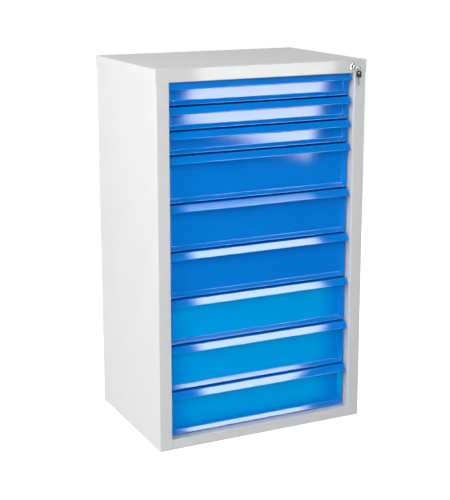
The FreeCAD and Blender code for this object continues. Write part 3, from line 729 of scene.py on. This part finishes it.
class CABINET_OT_fronts(bpy.types.Operator):
    """Press a dished front with a handle lip for every drawer"""
    bl_idname = "cabinet.fronts"
    bl_label = "Drawer fronts"

    def execute(self, context):
        size = context.scene.cabinet_front
        for drawer in DRAWERS:
            low_corner, high_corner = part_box(drawer + "_front")
            half, low, high, back = high_corner.x, low_corner.z, high_corner.z, high_corner.y
            panel = back - size.pan_depth
            patches = pan_patches(size, half, low, high, panel, panel - size.bevel_depth, back)
            patches.append(lip_patch(size, half, high, panel, back))
            add_piece(drawer + "_pressed_front", patches, drawer, "blue_paint", [drawer + "_front"])
        return {"FINISHED"}


# ---------------------------------------------------------------- lock and keys
BLADE_STEPS = 57                  # sections along the blade
CUT_FLAT = 1.5                    # how wide a cut stays at its full depth
CUT_SLOPE = 4.5                   # how fast it rises on both sides
CUT_STEP, CUT_START = 2.4, 0.6    # a cut's depth is the sine of its number times the step, plus the start
FIRST_CUT, LAST_CUT = 0.6, 6.0    # in cut pitches below the bow
TIP_SHARE = 0.06                  # width of the blade's end
WIRE_CORNER = 0.7                 # corner radius of the ring's wire, as a share of its own radius
# Half section of the blade: shares of its half-width, of its half-thickness and of the groove's depth.
BLADE_SECTION = (
    (1.0, 0.55, 0.0), (0.97, 1.0, 0.0), (0.35, 1.0, 0.0), (0.18, 1.0, 1.0),
    (-0.18, 1.0, 1.0), (-0.35, 1.0, 0.0), (-0.97, 1.0, 0.0), (-1.0, 0.55, 0.0))


def evenly_spaced(ring, count):
    """A closed outline walked at equal steps of its length."""
    closed = np.vstack([ring, ring[:1]])
    walked = np.concatenate([[0.0], np.cumsum(np.linalg.norm(np.diff(closed, axis=0), axis=1))])
    stops = np.linspace(0.0, walked[-1], count, endpoint=False)
    return np.stack([np.interp(stops, walked, closed[:, 0]), np.interp(stops, walked, closed[:, 1])], 1)


def swept(centre_line, across, section, up):
    """A section (a, b) carried along a line: each point of the line + a across + b up."""
    return centre_line[:, None] + across[:, None] * section[:, :1] + np.asarray(up) * section[:, 1:]


def key_frame(points, origin, angle):
    """Points drawn in the front plane, (x, depth, z), turned about the vertical and moved to the origin."""
    turned = turned_by(points[..., :2], np.full(points.shape[:-1], angle))
    return np.concatenate([turned, points[..., 2:]], -1) + np.asarray(origin)


class CABINET_OT_lock(bpy.types.Operator):
    """Turn the lock's flange and barrel, its plug, and shape the key that stands in it"""
    bl_idname = "cabinet.lock"
    bl_label = "Lock and its key"

    def execute(self, context):
        size = context.scene.cabinet_key
        axis = (np.add(*PLUG) / 2)[[0, 2]]
        face, rear = HOUSING[0].y, HOUSING[1].y
        rim = (HOUSING[1].x - HOUSING[0].x) / 2
        bore = size.plug_radius + size.running_gap
        barrel = rim - size.flange_step
        front = COVER[0].y
        ease = size.edge
        flange = [
            (bore, rear), (bore, face + ease), (bore + ease, face), (rim - 4 * ease, face),
            (rim - 1.5 * ease, face + ease), (rim, face + 3.5 * ease), (rim, front), (barrel, front),
            (barrel, rear)]
        patches = [lofted(lathe(flange, axis), closed=True)]
        add_piece("lock_flange", patches, "cabinet", "chrome_plate", ["lock_housing"])
        start, end = PLUG[0].y, PLUG[1].y
        radius = size.plug_radius
        plug = [
            (radius - 6 * ease, start + ease), (radius - 4 * ease, start), (radius - ease, start),
            (radius, start + ease), (radius, rear), (size.tail_radius, rear), (size.tail_radius, end)]
        patches = [lofted(lathe(plug, axis))]
        add_piece("lock_core", patches, "lock", "chrome_plate", ["lock_plug"])
        self.key(size, axis, start)
        return {"FINISHED"}

    def key(self, size, axis, face):
        """Bow ring, neck with its shoulders, and the blade inside the plug."""
        half_width, half_length = (KEY[1].x - KEY[0].x) / 2, size.bow_length / 2
        thick = (KEY[1].z - KEY[0].z) / 2
        bow_y = KEY[0].y + half_length
        line = rounded_rectangle(half_width - size.web / 2, half_length - size.web / 2,
                                 size.bow_radius - size.web / 2, steps=10)
        centre = np.column_stack([line[:, 0] + axis[0], line[:, 1] + bow_y, np.full(len(line), axis[1])])
        up = (0.0, 0.0, 1.0)
        across = np.cross(np.roll(centre, -1, axis=0) - np.roll(centre, 1, axis=0), up)
        across /= np.linalg.norm(across, axis=1)[:, None]
        ring = swept(centre, across, rounded_rectangle(size.web / 2, thick, size.edge, steps=3), up)
        patches = [lofted(ring, closed=True)]
        neck_start = KEY[0].y + size.bow_length - size.web
        shoulder = face - size.shoulder
        neck, slim = size.neck_width / 2, size.neck_width / 2 - size.edge
        blade, blade_thick = size.blade_width / 2, size.blade_thick / 2
        stations = (
            (neck_start, neck + size.edge, thick), (neck_start + size.web, neck, thick),
            (shoulder - size.edge, neck, thick), (shoulder, slim, thick), (face - CLEAR, slim, thick),
            (face, blade, blade_thick), (KEY[1].y, blade, blade_thick))
        patches.append(lofted([flat_loop(rounded_rectangle(half_x, half_z, size.edge, steps=3) + axis, y, 1)
                               for y, half_x, half_z in stations]))
        add_piece("key_in_lock", patches, "lock", "nickel_steel", ["lock_key"])


class CABINET_OT_spare(bpy.types.Operator):
    """Wind the split ring and shape the spare key that hangs from it"""
    bl_idname = "cabinet.spare"
    bl_label = "Ring and spare key"

    def execute(self, context):
        size = context.scene.cabinet_key
        centre = np.add(*RING) / 2
        angle = size.ring_turn
        wire = size.ring_wire
        hang = (RING[1].z - RING[0].z) / 2 - size.solid_wire
        mean = hang - size.solid_wire + wire
        t = np.linspace(0.0, 4 * math.pi, 161)
        shift = np.linspace(-wire, wire, len(t))
        centre_line = np.column_stack([mean * np.sin(t), shift, -mean * np.cos(t)])
        radial = np.column_stack([np.sin(t), np.zeros_like(t), -np.cos(t)])
        section = rounded_rectangle(wire, wire, wire * WIRE_CORNER, steps=3)
        loops = key_frame(swept(centre_line, radial, section, (0.0, 1.0, 0.0)), centre, angle)
        add_piece("split_ring", [lofted(loops)], "ring", "nickel_steel", ["key_ring"])
        origin = (centre[0], centre[1], RING[0].z + size.solid_wire)
        self.bow(size, origin, angle - math.pi / 2)
        self.blade(size, origin, angle - math.pi / 2)
        return {"FINISHED"}

    def bow(self, size, origin, angle):
        """Moulded bow: a rounded plate with a recessed grip, a round hole and a rim round the hole."""
        low, high = BOW[0].z - origin[2], BOW[1].z - origin[2]
        middle = (low + high) / 2
        half_x, half_z = size.spare_width / 2, (high - low) / 2
        half = size.spare_thick / 2
        hole_z = high - size.spare_web - size.hole_radius

        def outline(inset):
            ring = rounded_rectangle(half_x - inset, half_z - inset, size.spare_radius - inset, 10)
            return evenly_spaced(ring, 128) + np.array([0.0, middle])

        base = outline(0.0)
        bearing = np.arctan2(base[:, 1] - hole_z, base[:, 0])

        def hole(grow):
            ring = (size.hole_radius + grow) * np.stack([np.cos(bearing), np.sin(bearing)], 1)
            return ring + np.array([0.0, hole_z])

        edge, dip = size.spare_edge, size.recess
        a = np.linspace(0.0, math.pi / 2, 4)
        one_face = [(hole(edge * (1 - math.cos(x))), half - edge * (1 - math.sin(x))) for x in a]
        one_face += [(hole(3 * edge), half), (hole(4 * edge), half - dip), (outline(5 * edge), half - dip),
                     (outline(4 * edge), half)]
        one_face += [(outline(edge * (1 - math.sin(x))), half - edge * (1 - math.cos(x))) for x in a]
        other = [(ring, -level) for ring, level in one_face[::-1]]
        loops = [np.column_stack([ring[:, 0], np.full(len(ring), level), ring[:, 1]])
                 for ring, level in one_face + other]
        loops = key_frame(np.asarray(loops), origin, angle)
        add_piece("spare_bow", [lofted(loops, closed=True)], "spare_key", "black_plastic", ["spare_key_bow"])

    def blade(self, size, origin, angle):
        """Flat blade: its two edges step in and out with the cuts, and a groove runs down each face."""
        tip, root = BLADE[0].z - origin[2], BOW[0].z + 3 * size.spare_edge - origin[2]
        half_x, half_y = size.blade_width / 2, size.blade_thick / 2
        level = np.linspace(root, tip, BLADE_STEPS)
        down = (BOW[0].z - origin[2] - level) / size.cut_pitch
        phase = down - np.floor(down)
        depth = size.cut_depth * np.clip(CUT_FLAT - np.abs(phase - 0.5) * CUT_SLOPE, 0.0, 1.0)
        pick = np.abs(np.sin(np.floor(down) * CUT_STEP + CUT_START))
        cut = np.where((down > FIRST_CUT) & (down < LAST_CUT), depth * pick, 0.0)
        point = np.clip((level - tip) / half_x, TIP_SHARE, 1.0)
        right = (half_x - cut) * point
        left = half_x * point
        groove = size.groove * np.clip((level - tip) / size.cut_pitch - 1.0, 0.0, 1.0)
        share, slope, face = np.array(BLADE_SECTION).T
        x = np.where(share > 0, share * right[:, None], share * left[:, None])
        y = half_y * slope - face * groove[:, None]
        upper = np.stack([x, y, np.repeat(level[:, None], len(share), axis=1)], -1)
        lower = upper[:, ::-1] * np.array([1.0, -1.0, 1.0])
        loops = key_frame(np.concatenate([upper, lower], axis=1), origin, angle)
        add_piece("spare_blade", [lofted(loops)], "spare_key", "nickel_steel", ["spare_key_blade"])


# ---------------------------------------------------------------- stage
# Lamps: place, point that it faces, width and height.
FRONT_BOX = ((-0.9, -3.1, 2.2), (0.0, 0.0, 0.75), 1.4, 2.2)
REAR_BOX = ((2.9, 2.5, 0.75), (0.0, 0.0, 0.65), 2.0, 1.2)
SIDE_BOX = ((-3.0, -0.7, 2.2), (-0.3, 0.0, 0.7), 1.6, 1.6)

# Cards: corner, and the two edges from it. The upright ones stand in front of the drawers and the flat ones lie
# on the floor. A bright patch's outline is in x and z on the upright card, in x and y on the flat one. The
# cards glow and only glossy rays meet them: they are painted reflections, not lamps.
# Painted highlight card: its bright patches are a soft box's reflection, with no lamp behind them.
HIGHLIGHT_CARD = ((-1.0, -3.05, 0.0), (6.0, 0.0, 0.0), (0.0, 0.0, 6.5))
HIGHLIGHT_STEPS = 160
LOW_PATCH = ((1.01, 0.585), (1.82, 0.315), (2.00, 1.15), (1.11, 1.15))
HIGH_TOP = 4.45
HIGH_FADE = 0.6
HIGH_PATCH = ((1.355, 2.45), (1.92, 2.45), (2.45, 3.07), (2.73, HIGH_TOP), (1.71, HIGH_TOP))
CARD_LEVEL = 0.003
# Dark cards: painted dark reflection, seen only by glossy rays, where the room and floor are pale.
DARK_REFLECTION_CARDS = (
    ("left_card", (-5.0, -3.05, 0.0), (4.0, 0.0, 0.0), (0.0, 0.0, 6.5)),
    ("floor_card", (-5.0, -3.05, CARD_LEVEL), (10.0, 0.0, 0.0), (0.0, 1.3, 0.0)),
    ("left_floor_card", (-5.0, -1.75, CARD_LEVEL), (4.4, 0.0, 0.0), (0.0, 1.45, 0.0)))
DARK_REFLECTION_STEPS = 4
# Painted cyan reflection card: cyan glow on the floor in front of the lower drawers, seen only in reflections.
CYAN_REFLECTION_CARD = ((-0.6, -1.75, CARD_LEVEL), (2.2, 0.0, 0.0), (0.0, 1.45, 0.0))
CYAN_REFLECTION_STEPS = 120
CYAN_REFLECTION_PATCH = ((0.33, -1.66), (1.14, -1.66), (0.333, -0.35), (-0.216, -0.35))
CYAN_REFLECTION_SOFT = 0.12                  # width of the painted cyan reflection's soft edge

FLOOR_REACH = 60.0
FLOOR_LEVEL = -0.0005
FLOOR_GREY = (0.82, 0.82, 0.82)
FADE_START = 1.2                  # distance at which the floor starts to turn white
FADE_END = 3.5


def where_seen(tree):
    """1 for camera, glossy and transmission rays and 0 for the rest."""
    rays = add_node(tree, "ShaderNodeLightPath")
    seen = rays.outputs["Is Camera Ray"]
    for name in ("Is Glossy Ray", "Is Transmission Ray"):
        either = add_node(tree, "ShaderNodeMath", {0: seen, 1: rays.outputs[name]}, operation="MAXIMUM")
        seen = either.outputs["Value"]
    return seen


def soft_box(name, place, target, width, height, power):
    """A rectangular lamp that faces a point and isn't seen by the camera."""
    lamp = bpy.data.lights.new(name, "AREA")
    lamp.shape = "RECTANGLE"
    lamp.size, lamp.size_y, lamp.energy = width, height, power
    holder = add_object(name, lamp)
    holder.location = place
    way = np.asarray(target, float) - np.asarray(place, float)
    holder.rotation_euler = (
        math.atan2(math.hypot(way[0], way[1]), -way[2]), 0.0, math.atan2(way[0], -way[1]) + math.pi)
    holder.visible_camera = False
    holder.visible_glossy = False


def reflected_card(name, corner, across, up, steps, shine, tint=(1.0, 1.0, 1.0)):
    """A flat glowing card that only glossy rays meet, a painted reflection: corner + a across + b up, with its
    brightness at each point.
    """
    a, b = np.meshgrid(np.linspace(0.0, 1.0, steps + 1), np.linspace(0.0, 1.0, steps + 1))
    corner, across, up = np.asarray(corner), np.asarray(across), np.asarray(up)
    points = (corner + a[..., None] * across + b[..., None] * up).reshape(-1, 3)
    mesh = bpy.data.meshes.new(name)
    mesh.from_pydata(points.tolist(), [], grid_faces(*a.shape).tolist())
    level = mesh.attributes.new("shine", "FLOAT", "POINT")
    level.data.foreach_set("value", shine(points))
    card = add_object(name, mesh)
    material, tree = empty_material(name)
    value = add_node(tree, "ShaderNodeAttribute", attribute_name="shine")
    surfaced(tree, add_node(
        tree, "ShaderNodeEmission", {"Color": (*tint, 1.0), "Strength": value.outputs["Fac"]}))
    mesh.materials.append(material)
    card.visible_camera = card.visible_diffuse = card.visible_shadow = False
    card.visible_transmission = card.visible_volume_scatter = False


def soft_inside(points, corners, soft):
    """1 inside a convex outline and 0 outside: a smooth step over each edge's distance, all multiplied."""
    shape = np.asarray(corners)
    level = np.ones(len(points))
    for start, end in zip(shape, np.roll(shape, -1, axis=0)):
        way = (end - start) / np.linalg.norm(end - start)
        away = (points[:, 0] - start[0]) * -way[1] + (points[:, 2] - start[1]) * way[0]
        t = np.clip(away / soft + 0.5, 0.0, 1.0)
        level *= t * t * (3.0 - 2.0 * t)
    return level


class CABINET_OT_stage(bpy.types.Operator):
    """Set the camera, the pale floor, the white room, the soft boxes and the glowing cards that paint
    reflections
    """
    bl_idname = "cabinet.stage"
    bl_label = "Stage"

    def execute(self, context):
        size = context.scene.cabinet_stage
        scene = context.scene
        camera = bpy.data.cameras.new("camera")
        camera.sensor_width, camera.lens, camera.shift_y = 36.0, size.lens, size.shift
        holder = add_object("camera", camera)
        holder.location = size.place
        holder.rotation_euler = (math.pi / 2 - size.pitch, 0.0, -size.yaw)
        scene.camera = holder
        scene.view_settings.view_transform = "Standard"
        self.floor(size)
        self.room(size)
        soft_box("front_box", *FRONT_BOX, size.box_power)
        soft_box("rear_box", *REAR_BOX, size.rear_power)
        soft_box("side_box", *SIDE_BOX, size.side_power)
        # Painted highlight: soft-box patches on a dark card, seen only in reflections.
        reflected_card("box_card", *HIGHLIGHT_CARD, HIGHLIGHT_STEPS, lambda points: size.painted_dark_reflection + size.highlight_shine * (
            soft_inside(points, LOW_PATCH, size.highlight_soft) + soft_inside(points, HIGH_PATCH, size.highlight_soft)
            * np.clip((HIGH_TOP - points[:, 2]) / HIGH_FADE, 0.0, 1.0)))
        # Painted dark reflection round the highlight.
        for name, corner, across, up in DARK_REFLECTION_CARDS:
            reflected_card(name, corner, across, up, DARK_REFLECTION_STEPS,
                           lambda points: np.full(len(points), size.painted_dark_reflection))
        # Painted cyan reflection on the lower drawers; the floor under this card is pale grey.
        reflected_card("near_floor_card", *CYAN_REFLECTION_CARD, CYAN_REFLECTION_STEPS, lambda points: (
            size.painted_dark_reflection + size.cyan_reflection_shine * soft_inside(points[:, (0, 2, 1)], CYAN_REFLECTION_PATCH, CYAN_REFLECTION_SOFT)),
            tuple(size.cyan_reflection_tint))
        return {"FINISHED"}

    def floor(self, size):
        """A pale floor that fades into the white room with distance from the cabinet."""
        line = np.linspace(-FLOOR_REACH, FLOOR_REACH, size.steps + 1)
        x, y = np.meshgrid(line, line)
        mesh = bpy.data.meshes.new("floor")
        points = np.stack([x, y, np.full_like(x, FLOOR_LEVEL)], -1).reshape(-1, 3)
        mesh.from_pydata(points.tolist(), [], grid_faces(*x.shape).tolist())
        floor = add_object("floor", mesh)
        material, tree = empty_material("floor")
        seen = where_seen(tree)
        lifted = add_node(tree, "ShaderNodeMath", {0: seen, 1: size.floor_lift}, operation="MULTIPLY")
        diffuse = add_node(tree, "ShaderNodeBsdfDiffuse", {"Color": (*FLOOR_GREY, 1.0)})
        glow = add_node(tree, "ShaderNodeEmission", {"Strength": lifted.outputs["Value"]})
        near = add_node(
            tree, "ShaderNodeAddShader", {0: diffuse.outputs["BSDF"], 1: glow.outputs["Emission"]})
        place = add_node(tree, "ShaderNodeTexCoord")
        away = add_node(tree, "ShaderNodeVectorMath", {0: place.outputs["Object"]}, operation="LENGTH")
        ranged = add_node(tree, "ShaderNodeMapRange", {
            "From Min": FADE_START, "From Max": FADE_END, "Value": away.outputs["Value"]})
        masked = add_node(
            tree, "ShaderNodeMath", {0: ranged.outputs["Result"], 1: seen}, operation="MULTIPLY")
        far = add_node(tree, "ShaderNodeEmission")
        surfaced(tree, add_node(tree, "ShaderNodeMixShader", {
            "Fac": masked.outputs["Value"], 1: near.outputs["Shader"], 2: far.outputs["Emission"]}))
        mesh.materials.append(material)

    def room(self, size):
        """White where it is seen, and a plain fill for diffuse light."""
        world = bpy.context.scene.world or bpy.data.worlds.new("room")
        bpy.context.scene.world = world
        world.use_nodes = True
        tree = world.node_tree
        tree.nodes.clear()
        strength = add_node(tree, "ShaderNodeMapRange", {
            "To Min": size.fill, "To Max": 1.0, "Value": where_seen(tree)})
        background = add_node(tree, "ShaderNodeBackground", {
            "Color": (1.0, 1.0, 1.0, 1.0), "Strength": strength.outputs["Result"]})
        add_node(tree, "ShaderNodeOutputWorld", {"Surface": background.outputs["Background"]})


# ---------------------------------------------------------------- add-on
STEPS = ("finishes", "sides", "cover", "base", "fronts", "lock", "spare", "stage")


class CABINET_PT_panel(bpy.types.Panel):
    """Lists the steps that build the cabinet's looks"""
    bl_idname = "CABINET_PT_panel"
    bl_label = "Drawer cabinet"
    bl_space_type = "VIEW_3D"
    bl_region_type = "UI"
    bl_category = "Cabinet"

    def draw(self, context):
        for step in STEPS:
            self.layout.operator("cabinet." + step)


SETTINGS = (
    ("cabinet_sheet", CABINET_PG_sheet), ("cabinet_front", CABINET_PG_front), ("cabinet_key", CABINET_PG_key),
    ("cabinet_finish", CABINET_PG_finish), ("cabinet_stage", CABINET_PG_stage))
CLASSES = tuple(group for _, group in SETTINGS) + (
    CABINET_OT_finishes, CABINET_OT_sides, CABINET_OT_cover, CABINET_OT_base, CABINET_OT_fronts,
    CABINET_OT_lock, CABINET_OT_spare, CABINET_OT_stage, CABINET_PT_panel)


def register():
    for made in CLASSES:
        bpy.utils.register_class(made)
    for name, group in SETTINGS:
        setattr(bpy.types.Scene, name, PointerProperty(type=group))


def unregister():
    for name, _ in SETTINGS:
        delattr(bpy.types.Scene, name)
    for made in reversed(CLASSES):
        bpy.utils.unregister_class(made)


def main():
    register()
    for step in STEPS:
        getattr(bpy.ops.cabinet, step)()


if __name__ == "__main__":
    main()
